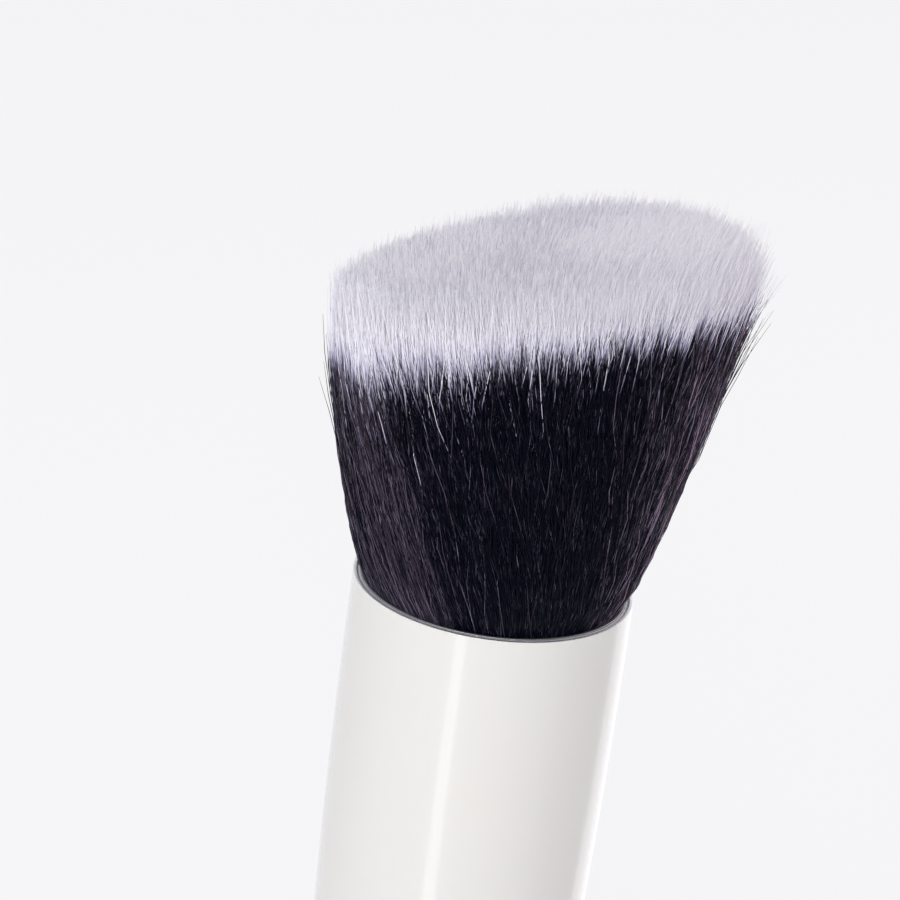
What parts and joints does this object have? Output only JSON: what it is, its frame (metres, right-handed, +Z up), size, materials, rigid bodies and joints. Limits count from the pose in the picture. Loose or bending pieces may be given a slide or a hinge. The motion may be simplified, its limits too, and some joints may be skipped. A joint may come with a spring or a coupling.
{
  "type": "angled face brush",
  "caption": "Cosmetic face brush with a dense slanted tuft of soft filaments, a thin bare metal rim and a glossy barrel-shaped body that stands on its flat foot.",
  "frame": {"origin": "centre of the flat foot that the brush stands on", "axes": "+Z up the axis from the foot to the tuft, +X towards the long side of the slanted tuft"},
  "size_m": [0.036, 0.0363, 0.1052],
  "materials": {
    "filament": "soft synthetic filaments, black with pale lavender tips",
    "thread": "waxed thread",
    "resin": "cast potting resin",
    "cup_metal": "drawn, with a cut rim",
    "lacquered_metal": "gloss white lacquer outside, bare cut rim",
    "handle_plastic": "gloss white",
    "steel": "turned",
    "inner_plastic": "moulded"
  },
  "bodies": {
    "root": {"bristle_tuft": "filament", "binding_thread": "thread", "root_resin": "resin", "knot_cup": "cup_metal", "ferrule": "lacquered_metal", "handle_shell": "handle_plastic", "handle_weight": "steel", "weight_retainer": "inner_plastic"}
  },
  "joints": []
}
